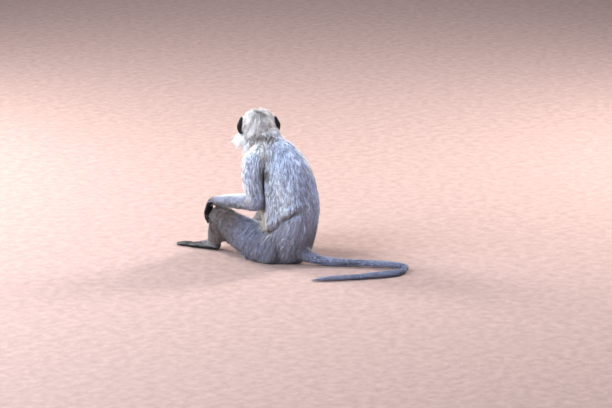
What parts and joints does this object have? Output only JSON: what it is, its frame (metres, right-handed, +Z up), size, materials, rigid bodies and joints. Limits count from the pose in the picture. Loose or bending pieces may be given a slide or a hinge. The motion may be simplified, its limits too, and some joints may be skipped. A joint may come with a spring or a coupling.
{
  "type": "monkey",
  "caption": "Adult grey langur sitting on the ground, knees up, forearms on the knees, head turned a little aside, long tail laid in a hairpin behind.",
  "frame": {"origin": "on the ground, between the sitting bones, at the middle of the flat the trunk sits on", "axes": "+Z up, -Y the way the trunk faces, +X the animal's left"},
  "size_m": [0.4612, 0.8955, 0.5683],
  "materials": {
    "grey_coat": "dense hair, lavender grey on the back and rump, paler on the shoulders and sides",
    "pale_coat": "dense pale grey to cream hair of the crown, ruff and throat",
    "black_skin": "bare creased black skin of the hands, feet and ears",
    "eye": "wet, dark brown iris"
  },
  "bodies": {
    "root": {"chest": "grey_coat", "rump": "grey_coat", "neck": "pale_coat", "head": "pale_coat", "ear_left": "black_skin", "ear_right": "black_skin", "eye_left": "eye", "eye_right": "eye", "upper_arm_left": "grey_coat", "upper_arm_right": "grey_coat", "forearm_left": "grey_coat", "forearm_right": "grey_coat", "hand_left": "black_skin", "hand_right": "black_skin", "thigh_left": "grey_coat", "thigh_right": "grey_coat", "shin_left": "grey_coat", "shin_right": "grey_coat", "foot_left": "black_skin", "foot_right": "black_skin", "tail_1": "grey_coat", "tail_2": "grey_coat", "tail_3": "grey_coat", "tail_4": "grey_coat", "tail_5": "grey_coat"}
  },
  "joints": []
}
